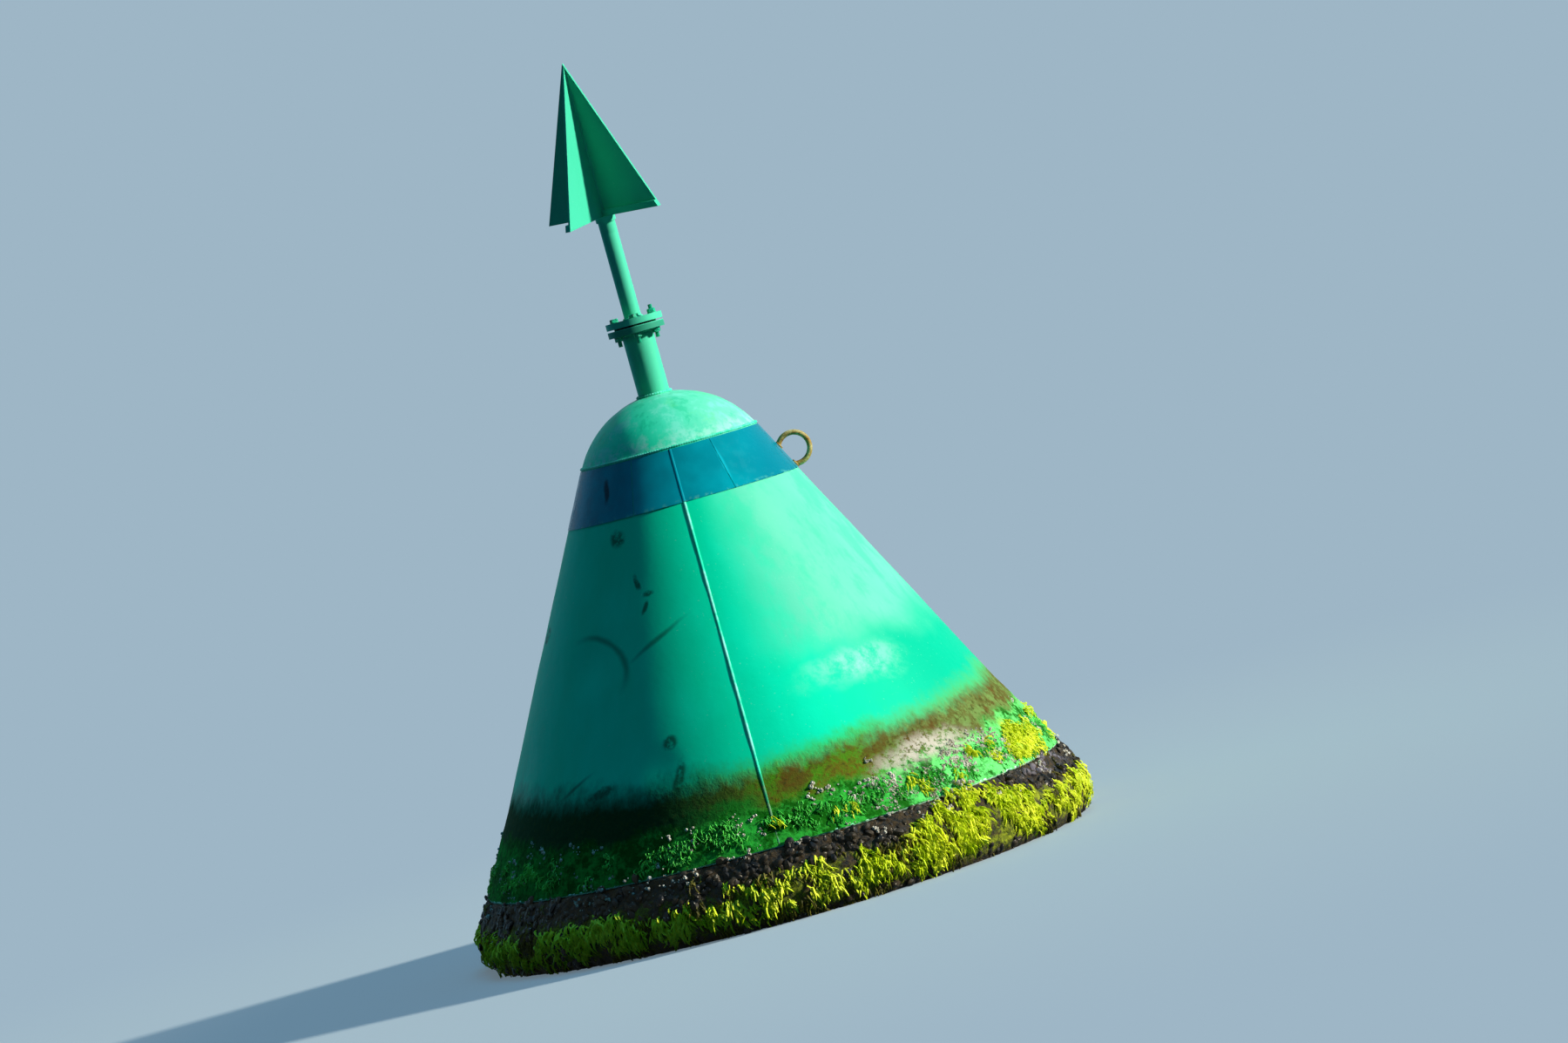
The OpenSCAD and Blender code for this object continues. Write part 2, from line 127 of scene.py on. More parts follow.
# Long thin scratches: azimuth in degrees, height, half length, half width, lean in degrees
SCRATCHES = [
    (-110.0, 0.792, 0.130, 0.011, 27),
    (-136.0, 0.466, 0.090, 0.009, 24),
    (30.0, 0.860, 0.120, 0.008, 18),
    (101.0, 0.560, 0.160, 0.010, -24),
    (165.0, 0.940, 0.090, 0.007, 40),
]
# Dents in the cone plate: azimuth in degrees, height, reach, depth
PLATE_DENTS = [
    (-134, 0.77, 0.11, 0.0050),
    (-112, 0.46, 0.09, 0.0030),
    (-52, 0.64, 0.14, 0.0022),
    (38, 0.72, 0.16, 0.0060),
    (118, 0.55, 0.12, 0.0050),
    (172, 0.83, 0.10, 0.0045),
    (-165, 0.50, 0.13, 0.0040),
]


def clamped(value):
    """The value, kept between 0 and 1."""
    return max(0.0, min(1.0, value))


def polar(turn, r, z=0.0):
    """Point at an azimuth, radius and height."""
    return Vector((r * cos(turn), r * sin(turn), z))


def shell_r(z):
    """Radius of the cone plate at a height."""
    return LIP_R - (z - LIP_Z) * SLOPE


def hull_r(z):
    """Radius of the steel at any height of the visible hull."""
    if z >= LIP_Z:
        return shell_r(z)
    if z >= KNUCKLE_TOP_Z:
        return KNUCKLE_TOP_R - (z - KNUCKLE_TOP_Z) * SLOPE
    rise = max(-KNUCKLE_R, min(KNUCKLE_R, z - KNUCKLE_Z))
    return KNUCKLE_C + sqrt(KNUCKLE_R ** 2 - rise ** 2)


def on_hull(turn, z, lift=0.0):
    """Point on the hull at an azimuth and height, and its outward normal."""
    step = 0.002
    fall = (hull_r(z - step) - hull_r(z + step)) / (2 * step)
    normal = polar(turn, 1.0, fall).normalized()
    return polar(turn, hull_r(z), z) + normal * lift, normal


# Materials: short names for shader nodes

class Graph:
    """Builds one material's nodes. Most methods give back a socket."""

    def __init__(self, name):
        self.material = bpy.data.materials.new(name)
        self.material.use_nodes = True
        self.nodes = self.material.node_tree.nodes
        self.links = self.material.node_tree.links
        self.shader = self.nodes["Principled BSDF"]
        self.place = self.nodes.new("ShaderNodeTexCoord").outputs["Object"]

    def fill(self, node, values):
        """Links or sets a node's inputs. None leaves an input as it is."""
        for socket, value in values.items():
            if isinstance(value, bpy.types.NodeSocket):
                self.links.new(value, node.inputs[socket])
            elif value is not None:
                node.inputs[socket].default_value = value

    def add(self, kind, values, operation=None):
        """Makes a node with its inputs, and with its operation where it has one."""
        node = self.nodes.new("ShaderNode" + kind)
        if operation:
            node.operation = operation
        self.fill(node, values)
        return node

    def math(self, operation, a, b=None):
        return self.add("Math", {0: a, 1: b}, operation).outputs[0]

    def times(self, a, b):
        return self.math("MULTIPLY", a, b)

    def plus(self, a, b):
        return self.math("ADD", a, b)

    def sway(self, value, amount):
        """The value's swing to both sides of a half, at the given size."""
        return self.times(self.math("SUBTRACT", value, 0.5), amount)

    def blend(self, a, share_a, b, share_b):
        return self.plus(self.times(a, share_a), self.times(b, share_b))

    def noise(self, scale, detail, rough, point=None):
        node = self.add("TexNoise", {"Vector": point or self.place, "Scale": scale,
                                     "Detail": detail, "Roughness": rough})
        return node.outputs["Fac"]

    def cells(self, scale):
        values = {"Vector": self.place, "Scale": scale}
        return self.add("TexVoronoi", values).outputs["Distance"]

    def span(self, value, low, high, start=0.0, end=1.0):
        """Smooth rise from start to end, while the value goes from low to high."""
        node = self.add("MapRange", {"Value": value, "From Min": low, "From Max": high,
                                     "To Min": start, "To Max": end})
        node.interpolation_type = "SMOOTHSTEP"
        return node.outputs["Result"]

    def window(self, value, near, far):
        """1 between two soft edges, each given as where it is 0 and where it is 1."""
        return self.times(self.span(value, *near), self.span(value, *far))

    def mix(self, share, a, b):
        """From colour a, where the share is 0, to colour b, where it is 1."""
        node = self.nodes.new("ShaderNodeMix")
        node.data_type = "RGBA"
        self.fill(node, {"Factor": share, "A": a, "B": b})
        return node.outputs["Result"]

    def over(self, color, coat, mask, share):
        """The coat laid over the colour where the mask is 1, at the given share."""
        return self.mix(self.times(mask, share), color, coat)

    def fade(self, value, low, high, first, second):
        """The first colour up to a low value, the second from a high value on."""
        return self.mix(self.span(value, low, high), first, second)

    def stretch(self, scale, point=None):
        values = {"Vector": point or self.place, "Scale": scale}
        return self.add("Mapping", values).outputs["Vector"]

    def axes(self, point=None):
        node = self.add("SeparateXYZ", {0: point or self.place})
        return node.outputs["X"], node.outputs["Y"], node.outputs["Z"]

    def push(self, amount, scale):
        """The place, shaken by noise, for ragged edges."""
        shake = self.add("TexNoise", {"Vector": self.place, "Scale": scale, "Detail": 4.0})
        values = {0: shake.outputs["Color"], 1: (0.5, 0.5, 0.5)}
        centred = self.add("VectorMath", values, "SUBTRACT")
        values = {0: centred.outputs[0], 1: (amount, amount, amount), 2: self.place}
        return self.add("VectorMath", values, "MULTIPLY_ADD").outputs[0]

    def away(self, turn, z, width, height, lean, point):
        """Distance from a spot on the hull, 1 on the rim of an ellipse round it."""
        spot, normal = on_hull(turn, z)
        across = Vector((-sin(turn), cos(turn), 0))
        side = across * cos(lean) + normal.cross(across) * sin(lean)
        turned = Matrix((side, normal.cross(side), normal)).transposed()
        scale = (width, height, max(width, height) * 1.5)
        node = self.add("Mapping", {"Vector": point or self.place, "Location": spot,
                                    "Rotation": turned.to_euler(), "Scale": scale})
        node.vector_type = "TEXTURE"
        return self.add("VectorMath", {0: node.outputs["Vector"]}, "LENGTH").outputs["Value"]

    def patch(self, turn, z, width, height, lean=0.0, soft=0.5, point=None):
        """1 inside an ellipse on the hull at an azimuth and height, 0 outside it."""
        return self.span(self.away(turn, z, width, height, lean, point), 1.0, 1.0 - soft)

    def bump(self, height, strength, distance, normal=None):
        node = self.add("Bump", {"Strength": strength, "Distance": distance,
                                 "Height": height, "Normal": normal})
        return node.outputs["Normal"]

    def finish(self, color, rough, normal=None, metal=0.0, level=0.5):
        """Fills the shader and gives back the material."""
        self.fill(self.shader, {"Base Color": color, "Roughness": rough, "Normal": normal,
                                "Metallic": metal, "Specular IOR Level": level})
        return self.material


def tone(red, green, blue):
    """Linear colour of an sRGB colour given in 0 to 255."""
    def linear(v):
        v /= 255
        return v / 12.92 if v <= 0.04045 else ((v + 0.055) / 1.055) ** 2.4
    return (linear(red), linear(green), linear(blue), 1.0)


GREEN = tone(3, 252, 192)
GREEN_DEEP = tone(0, 236, 172)
# Faded paint, which is also painted highlight where it is laid on a sunlit side, and a dimmer
# paint, which is painted shade where it is laid on a sunlit side
GREEN_FADE_AND_HIGHLIGHT = tone(120, 224, 184)
GREEN_DIMMED = tone(0, 196, 148)
BACKDROP = tone(158, 182, 198)
FLOOR_TONE = tone(202, 212, 210)
CHALK = tone(196, 250, 230)
RUST = tone(126, 62, 20)
RUST_DARK = tone(62, 32, 16)
GRIME = tone(22, 34, 26)


def paint_wear(g, fade_and_highlight_share, dimmed_share):
    """Old green paint before marks and fouling: colour, roughness, relief and streaks."""
    broad = g.noise(2.2, 3, 0.6, g.stretch((1, 1, 0.55)))
    streak = g.noise(9, 4, 0.6, g.stretch((1, 1, 0.12)))
    fine = g.noise(60, 4, 0.7)
    shade = g.blend(broad, 0.6, streak, 0.4)
    color = g.fade(shade, 0.35, 0.68, GREEN_DEEP, GREEN)
    # Dimmer paint: a plain darker tone on the mast and topmark, and painted shade where the hull
    # and head lay it on their sunlit side
    color = g.mix(dimmed_share, color, GREEN_DIMMED)
    # Paler mint paint: fading, and also painted highlight where the hull and head lay it on their
    # sunlit side
    faded = g.times(fade_and_highlight_share, g.span(shade, 0.22, 0.62, 0.62, 1.0))
    color = g.mix(faded, color, GREEN_FADE_AND_HIGHLIGHT)
    color = g.over(color, CHALK, g.span(g.noise(140, 2, 0.5), 0.68, 0.74), 0.12)
    rough = g.span(g.plus(fine, g.times(faded, 0.35)), 0.2, 1.1, 0.42, 0.68)
    # Roller texture with fine orange peel
    relief = g.bump(g.plus(g.times(g.noise(420, 2, 0.5), 0.4), fine), 0.25, 0.0012)
    return color, rough, relief, streak


def hull_paint():
    """Cone plate: bleached, chalky and scuffed paint with rust, fouled along its foot, and painted
    highlight and painted shade on its sunlit side.
    """
    g = Graph("hull_paint")
    x, y, z = g.axes()
    from_seam = g.math("ARCTAN2", x, g.times(y, -1.0))
    ragged = g.push(0.15, 6)
    # Paler mint paint to the right of the seam, above mid height: partly sun-bleached paint,
    # partly painted highlight of the sunlit side
    sunward = g.window(from_seam, (0.06, 0.58), (2.7, 1.9))
    high = g.span(g.axes(ragged)[2], 0.60, 0.74, 0.0, 0.92)
    uneven = g.span(g.noise(13, 5, 0.7, g.stretch((1, 1, 0.2))), 0.36, 0.56, 0.62, 1.0)
    fade_and_highlight = g.times(g.times(sunward, high), uneven)
    # Painted shade: dimmer paint over the sunlit side, which holds its strong light back
    dimmed = g.window(from_seam, (0.25, 1.0), (2.9, 2.3))
    color, rough, relief, streak = paint_wear(g, fade_and_highlight, dimmed)
    # Chalky cloud that has washed down from about mid height
    cloud = g.patch(radians(-57), 0.590, 0.22, 0.080, soft=0.95, point=ragged)
    cloud = g.times(cloud, g.span(g.noise(14, 6, 0.75), 0.38, 0.62, 0.05, 0.62))
    color = g.mix(cloud, color, CHALK)
    smudged = g.push(0.022, 26)
    color = g.over(color, GRIME, scuffs(g, smudged), 0.85)
    # Rust that bleeds from the seam and from the eye
    beside_seam = g.span(g.math("ABSOLUTE", from_seam), 0.03, 0.0)
    weep = g.times(beside_seam, g.span(streak, 0.62, 0.72))
    under_eye = g.patch(0.0, 1.04, 0.02, 0.10, soft=0.9, point=smudged)
    weep = g.math("MAXIMUM", g.times(weep, 0.3), g.times(under_eye, 0.55))
    color = g.mix(weep, color, RUST)
    color, rough, height = fouling(g, color, rough, from_seam, z)
    return g.finish(color, rough, g.bump(height, 0.8, 0.005, relief), level=0.04)


def scuffs(g, smudged):
    """Black scuffs and scratches, most of them to the left of the seam."""
    marks = None
    for azimuth, height, wide, tall, lean in SCUFFS:
        spot = g.patch(radians(azimuth), height, wide, tall, radians(lean), 0.55, smudged)
        marks = spot if marks is None else g.math("MAXIMUM", marks, spot)
    marks = g.times(marks, g.span(g.noise(48, 4, 0.7), 0.32, 0.56, 0.15, 0.9))
    bent = g.push(0.05, 3.5)
    for azimuth, height, long, thin, lean in SCRATCHES:
        line = g.patch(radians(azimuth), height, long, thin, radians(lean), 0.9, bent)
        marks = g.math("MAXIMUM", marks, g.times(line, 0.7))
    # A fender's curved rub mark: the upper right quarter of a ring
    rim = g.away(radians(-138.7), 0.714, 0.175, 0.135, 0.0, bent)
    quarter = g.patch(radians(-127), 0.785, 0.17, 0.14, soft=0.6)
    rub = g.times(g.window(rim, (0.9, 1.0), (1.1, 1.0)), quarter)
    return g.math("MAXIMUM", marks, g.times(rub, 0.65))


def fouling(g, color, rough, from_seam, z):
    """Stain, olive-brown film, green weed, dead crust and a tuft on the foot of the cone, with
    painted shade away from the sun and painted highlight towards it.
    """
    wander = g.sway(g.noise(5, 5, 0.65), 0.10)
    tooth = g.sway(g.noise(34, 4, 0.7, g.stretch((1, 1, 0.4))), 0.06)
    # The stain climbs higher on both flanks than on the front
    flank = g.math("SUBTRACT", 1.0, g.math("COSINE", from_seam))
    level = g.plus(z, g.plus(wander, tooth))
    level = g.math("SUBTRACT", level, g.times(flank, 0.065))
    dirty = g.noise(11, 5, 0.7)
    fine = g.noise(70, 4, 0.7)
    mottle = g.blend(dirty, 0.6, fine, 0.4)
    # Painted light: away from the sun the stain and film take darker painted-shade tones, and
    # towards it greener, paler painted-highlight tones
    sunny = g.window(from_seam, (-0.42, 0.10), (2.9, 2.0))
    pale = g.window(from_seam, (0.32, 0.62), (2.7, 2.0))
    stain_lit = g.mix(pale, tone(60, 206, 84), tone(88, 192, 100))
    stain_tone = g.mix(sunny, tone(8, 70, 50), stain_lit)
    color = g.over(color, stain_tone, g.span(level, 0.455, 0.395), 0.75)
    film = g.span(level, 0.418, 0.362)
    olive = g.fade(mottle, 0.42, 0.58, tone(82, 140, 10), tone(112, 92, 6))
    greyed = g.fade(mottle, 0.44, 0.56, tone(122, 142, 76), tone(98, 92, 42))
    lit = g.over(olive, greyed, pale, 0.85)
    reddish = g.times(g.span(g.noise(9, 4, 0.7), 0.47, 0.60), g.span(level, 0.30, 0.34))
    lit = g.over(lit, tone(100, 50, 10), reddish, 0.75)
    # It is green film rather than brown just left of the seam
    turning = g.times(g.span(from_seam, 0.03, -0.08), g.span(level, 0.355, 0.325, 0.25, 0.95))
    lit = g.mix(turning, lit, tone(40, 150, 34))
    shaded = g.mix(fine, tone(6, 30, 14), tone(26, 66, 26))
    film_tone = g.mix(sunny, shaded, lit)
    film_tone = g.mix(g.span(fine, 0.55, 0.66, 0, 0.6), film_tone, tone(52, 58, 10))
    color = g.over(color, film_tone, film, 0.96)
    # Green weed just above the lip, in tongues that reach up into the film
    low = g.span(g.plus(level, g.sway(dirty, 0.12)), 0.318, 0.282)
    # Painted highlight: the weed is paler towards the sun, and it covers less of the shaded side
    bright = g.mix(pale, tone(52, 196, 64), tone(118, 248, 124))
    grassy = g.fade(mottle, 0.44, 0.56, tone(14, 100, 14), bright)
    grassy = g.mix(g.span(fine, 0.57, 0.70, 0, 0.7), grassy, tone(70, 80, 22))
    color = g.mix(g.times(low, g.span(sunny, 0, 1, 0.6, 0.95)), color, grassy)
    # Pinkish white crust of dead barnacles on the side of the sun
    dead = g.patch(radians(-54), 0.326, 0.25, 0.056, 0.04, 0.8, g.push(0.06, 14))
    dead = g.times(dead, g.span(g.noise(42, 4, 0.75), 0.40, 0.53))
    color = g.over(color, tone(216, 204, 182), dead, 0.9)
    # Yellow tuft beyond it
    tuft = g.patch(radians(-27), 0.275, 0.055, 0.070, 0.0, 0.8, g.push(0.05, 18))
    color = g.over(color, tone(212, 228, 20), tuft, 0.9)
    rough = g.mix(film, rough, (0.85, 0.85, 0.85, 1))
    return color, rough, g.times(film, g.blend(fine, 0.6, dirty, 0.5))


def plain_paint(name, faded, dimmed, rust_share=0.08):
    """Old green paint for the mast and topmark, with rust coming through and painted shade under
    the upper flange.
    """
    g = Graph(name)
    color, rough, relief, _ = paint_wear(g, faded, dimmed)
    # Painted shade under the upper flange: a darker band from just below the gasket down past the
    # lower flange
    edges = (GASKET_Z, GASKET_Z - 0.004), (FLANGE_LOW_Z - 0.03, FLANGE_LOW_Z)
    color = g.over(color, tone(0, 96, 70), g.window(g.axes()[2], *edges), 0.6)
    rusty = g.span(g.noise(66, 5, 0.75), 0.72 - rust_share, 0.80 - rust_share)
    rusty = g.times(rusty, g.span(g.noise(11, 3, 0.6), 0.5, 0.62))
    return g.finish(g.over(color, RUST, rusty, 0.8), rough, relief, level=0.12)


def head_paint():
    """Head of the hull: bleached in runs, with chalky stains along its lower edge, and painted
    highlight and painted shade on its sunlit side.
    """
    g = Graph("head_paint")
    x, _, z = g.axes()
    # Paler mint paint towards the sun and higher up, partly faded paint and partly painted
    # highlight; darker paint on the +X side, painted shade over the sunlit side
    sunward = g.span(g.plus(x, g.times(z, 0.55)), 0.62, 0.94, 0.06, 0.95)
    color, rough, relief, _ = paint_wear(g, sunward, g.span(x, 0.02, 0.2))
    # Runs of chalk and of deeper paint that follow the fall of the head
    runs = g.noise(15, 4, 0.7, g.stretch((1, 1, 0.16), g.push(0.05, 6)))
    color = g.over(color, tone(140, 248, 214), g.span(runs, 0.50, 0.64), 0.55)
    color = g.over(color, tone(0, 206, 140), g.span(runs, 0.46, 0.36), 0.5)
    moss = g.span(g.noise(9, 4, 0.7), 0.56, 0.66, 0.0, 0.22)
    color = g.mix(moss, color, tone(110, 226, 120))
    uneven_z = g.plus(z, g.times(g.noise(14, 4, 0.65), 0.06))
    low = g.span(uneven_z, SEAT_Z + 0.085, SEAT_Z + 0.03)
    color = g.over(color, CHALK, g.times(low, g.span(g.noise(36, 4, 0.7), 0.42, 0.6)), 0.55)
    around_stub = g.span(z, HEAD_TOP_Z - 0.02, HEAD_TOP_Z - 0.001)
    weep = g.times(around_stub, g.span(g.noise(60, 4, 0.7), 0.5, 0.66))
    return g.finish(g.over(color, RUST, weep, 0.5), rough, relief, level=0.12)


def band_sheet():
    """Teal reflective sheet: glossy, with faint cells, a joint with a painted highlight, a scuff,
    a worn edge, and painted shade on its sunlit side.
    """
    g = Graph("band_sheet")
    x, _, z = g.axes()
    streak = g.noise(24, 4, 0.65, g.stretch((1, 1, 0.1)))
    color = g.fade(g.noise(5, 3, 0.6), 0.35, 0.7, tone(0, 140, 152), tone(0, 168, 178))
    color = g.over(color, tone(8, 186, 196), g.span(streak, 0.6, 0.75), 0.25)
    # Painted shade: darker teal towards +X, over the sunlit side
    color = g.fade(x, 0.14, 0.26, color, tone(0, 130, 146))
    edge = g.span(z, BAND_LOW_Z + 0.012, BAND_LOW_Z)
    edge = g.times(edge, g.span(g.noise(50, 3, 0.6), 0.5, 0.65))
    color = g.over(color, GREEN_FADE_AND_HIGHLIGHT, edge, 0.4)
    # A sheet joint, painted as a light streak: a painted highlight along its edge
    joint = g.patch(radians(-63.5), 1.20, 0.008, 0.075, 0.0, 0.7, g.push(0.006, 40))
    color = g.over(color, tone(20, 200, 212), joint, 0.6)
    scuff = g.patch(radians(-133), 1.205, 0.014, 0.045, 0.15, 0.6, g.push(0.02, 30))
    color = g.over(color, tone(4, 30, 44), scuff, 0.8)
    rough = g.span(g.noise(40, 3, 0.6), 0.3, 0.7, 0.16, 0.34)
    return g.finish(color, rough, g.bump(g.cells(340), 0.06, 0.0006), level=0.04)


def seam_paint():
    """Strip over the plate joint: thick pale paint, partly a painted highlight along the ridge,
    with green and brown film at its foot.
    """
    g = Graph("seam_paint")
    wear = g.noise(16, 5, 0.65)
    # Pale tones, partly painted highlight along the ridge
    color = g.fade(wear, 0.4, 0.62, tone(30, 236, 180), tone(150, 254, 220))
    film = g.span(g.plus(g.axes()[2], g.times(wear, 0.06)), 0.430, 0.385, 0, 0.8)
    film_tone = g.fade(wear, 0.45, 0.55, tone(40, 130, 60), tone(96, 112, 20))
    return g.finish(g.mix(film, color, film_tone), 0.55, g.bump(wear, 0.3, 0.002), level=0.12)


def eye_paint():
    """Cream paint on the lifting eye, worn to rust in patches."""
    g = Graph("eye_paint")
    wear = g.noise(38, 5, 0.75)
    color = g.fade(wear, 0.38, 0.52, tone(214, 200, 128), tone(176, 146, 66))
    color = g.fade(wear, 0.54, 0.64, color, RUST)
    color = g.mix(g.span(g.noise(160, 3, 0.7), 0.6, 0.75, 0, 0.5), color, RUST_DARK)
    rough = g.span(wear, 0.3, 0.7, 0.45, 0.85)
    return g.finish(color, rough, g.bump(wear, 0.6, 0.002), level=0.4)


def crust_hull():
    """Fouled steel under the lip: black-brown crust, with weed film above the waterline."""
    g = Graph("crust_hull")
    coarse = g.noise(16, 6, 0.75)
    fine = g.noise(80, 5, 0.75)
    color = g.fade(fine, 0.4, 0.62, tone(28, 30, 26), tone(74, 56, 26))
    level = g.plus(g.axes()[2], g.sway(coarse, 0.08))
    weedy = g.window(level, (0.150, 0.115), (0.005, 0.04))
    weed_tone = g.fade(fine, 0.35, 0.65, tone(58, 70, 14), tone(160, 170, 22))
    color = g.mix(g.times(weedy, g.span(coarse, 0.42, 0.56)), color, weed_tone)
    height = g.plus(fine, g.times(g.cells(70), -0.6))
    return g.finish(color, 0.8, g.bump(height, 1.0, 0.006), level=0.3)


def two_tone(name, dark, light, scale, rough, metal=0.0, depth=0.002, level=0.4):
    """Mottled material of two tones with a matching bump."""
    g = Graph(name)
    fine = g.noise(scale * 5, 4, 0.7)
    both = g.blend(g.noise(scale, 5, 0.7), 0.65, fine, 0.35)
    color = g.fade(both, 0.38, 0.62, tone(*dark), tone(*light))
    roughness = g.span(fine, 0.3, 0.7, max(0.05, rough - 0.12), min(1.0, rough + 0.1))
    return g.finish(color, roughness, g.bump(both, 0.6, depth), metal, level)


def mussel_shell():
    """Black-brown shells with pale specks, greyed by silt on the side of the eye."""
    g = Graph("mussel_shell")
    wear = g.noise(32, 4, 0.7)
    color = g.fade(wear, 0.4, 0.62, tone(10, 12, 11), tone(60, 48, 28))
    speck = g.span(g.noise(130, 2, 0.5), 0.66, 0.70)
    color = g.over(color, tone(210, 192, 164), speck, 0.85)
    silt = g.patch(radians(-24), 0.172, 0.20, 0.034, 0.0, 0.6, g.push(0.04, 12))
    silt = g.times(silt, g.span(wear, 0.3, 0.5, 0.2, 0.8))
    color = g.mix(silt, color, tone(132, 124, 130))
    return g.finish(color, 0.6, g.bump(g.noise(260, 2, 0.5), 0.3, 0.001), level=0.22)


HULL_PAINT = hull_paint()
SEAM_PAINT = seam_paint()
HEAD_PAINT = head_paint()
MAST_PAINT = plain_paint("mast_paint", 0.5, 0.5)
MARK_PAINT = plain_paint("mark_paint", 0.35, 0.75, rust_share=0.05)
BAND_SHEET = band_sheet()
EYE_PAINT = eye_paint()
CRUST_HULL = crust_hull()
BOTTOM_PAINT = two_tone("bottom_paint", (70, 26, 18), (112, 48, 34), 14, 0.8)
BALLAST_IRON = two_tone("ballast_iron", (38, 30, 26), (98, 60, 38), 22, 0.85, depth=0.003)
ZINC = two_tone("anode_zinc", (120, 124, 122), (182, 184, 178), 30, 0.7, depth=0.004)
GALVANISED = two_tone("galvanised_steel", (92, 84, 76), (150, 148, 142), 34, 0.55, metal=0.6)
RUBBER = two_tone("gasket_rubber", (22, 22, 22), (44, 42, 40), 60, 0.8)
MUSSEL = mussel_shell()
BARNACLE = two_tone("barnacle_shell", (176, 166, 140), (236, 230, 212), 45, 0.85)
WEED_YELLOW = two_tone("weed_yellow", (192, 214, 4), (250, 254, 64), 9, 0.55, level=0.2)
WEED_GREEN = two_tone("weed_green", (12, 136, 30), (104, 232, 84), 16, 0.55, level=0.2)
WEED_DARK = two_tone("weed_dark", (34, 38, 10), (112, 104, 20), 20, 0.6, level=0.2)
WELD_PAINT = two_tone("weld_paint", (10, 226, 168), (120, 250, 210), 40, 0.5, level=0.15)
# Near-white paint of the lip bead: painted highlight
LIP_HIGHLIGHT_PAINT = two_tone("lip_highlight_paint", (120, 232, 160), (230, 252, 230), 44, 0.6, level=0.15)
BOLT_PAINT = two_tone("bolt_paint", (2, 120, 88), (20, 214, 160), 90, 0.5, level=0.35)

# Looks of the part's own nodes
CAD_LOOKS = [
    (HULL_PAINT, ["cone_shell"]),
    (SEAM_PAINT, ["cone_seam"]),
    (HEAD_PAINT, ["dome_head"]),
    (BAND_SHEET, ["reflective_band"]),
    (EYE_PAINT, ["lifting_eye"]),
    (RUBBER, ["flange_gasket"]),
    (MAST_PAINT, ["mast_stub", "stub_flange", "pole_flange", "mast_pole", "pole_top",
                  "topmark_collar"]),
    (MARK_PAINT, ["topmark_plate", "topmark_wing_front", "topmark_wing_back", "topmark_bar_1",
                  "topmark_bar_2", "topmark_bar_3", "topmark_bar_4"]),
    (CRUST_HULL, ["girth_belt", "knuckle_ring"]),
    (BOTTOM_PAINT, ["bottom_dish", "tail_tube", "tail_gussets", "clamp_ring", "tail_end_plate",
                    "bridle_lug_left", "bridle_lug_right"]),
    (BALLAST_IRON, ["ballast_disc_1", "ballast_disc_2", "ballast_disc_3"]),
    (ZINC, ["anode_1", "anode_2", "anode_3", "anode_4"]),
    (GALVANISED, ["ballast_studs", "mooring_lug", "shackle_bow", "shackle_pin", "shackle_nut"]),
]
for look, nodes in CAD_LOOKS:
    for node in nodes:
        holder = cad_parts[node]
        holder.data.materials.clear()
        holder.data.materials.append(look)


# Mesh code: a shape is a list of points and a list of faces

def add_piece(name, shape, look, replaces=(), sharp=40):
    """Makes one piece of the scene, smooth but for edges sharper than an angle."""
    points, faces = shape
    mesh = bpy.data.meshes.new(name)
    mesh.from_pydata([tuple(p) for p in points], [], faces)
    mesh.polygons.foreach_set("use_smooth", [True] * len(mesh.polygons))
    mesh.set_sharp_from_angle(angle=radians(sharp))
    mesh.materials.append(look)
    piece = bpy.data.objects.new(name, mesh)
    SCENE.collection.objects.link(piece)
    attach(piece, "hull")
    if replaces:
        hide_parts(*replaces)


def joined(shapes):
    """One shape from several."""
    points, faces = [], []
    for more_points, more_faces in shapes:
        first = len(points)
        points.extend(more_points)
        faces.extend([tuple(first + i for i in face) for face in more_faces])
    return points, faces


def side_faces(rings, sides):
    """Quads between neighbouring rings of as many points each."""
    faces = []
    for row in range(rings - 1):
        for side in range(sides):
            a = row * sides + side
            b = row * sides + (side + 1) % sides
            faces.append((a, b, b + sides, a + sides))
    return faces


def lofted(rings):
    """Closed solid through rings that all have the same number of points."""
    sides = len(rings[0])
    last = (len(rings) - 1) * sides
    ends = [tuple(range(sides))[::-1], tuple(range(last, last + sides))]
    return [p for ring in rings for p in ring], side_faces(len(rings), sides) + ends


def revolved(rows, steps, shift):
    """Closed skin of revolution. Rows run upwards as (radius, height, normal r, normal z)."""
    points = []
    for r, z, normal_r, normal_z in rows:
        for step in range(steps):
            turn = FRONT + 2 * pi * step / steps
            out = shift(polar(turn, r, z), turn, z)
            points.append(polar(turn, r + out * normal_r, z + out * normal_z))
    faces = side_faces(len(rows), steps)
    foot = len(points)
    top = foot - steps
    points += [(0, 0, rows[0][1]), (0, 0, rows[-1][1])]
    for step in range(steps):
        after = (step + 1) % steps
        faces += [(foot, after, step), (foot + 1, top + step, top + after)]
    return points, faces


def circle(radius, z, count):
    """Ring of points about Z at a height."""
    return [polar(2 * pi * i / count, radius, z) for i in range(count)]


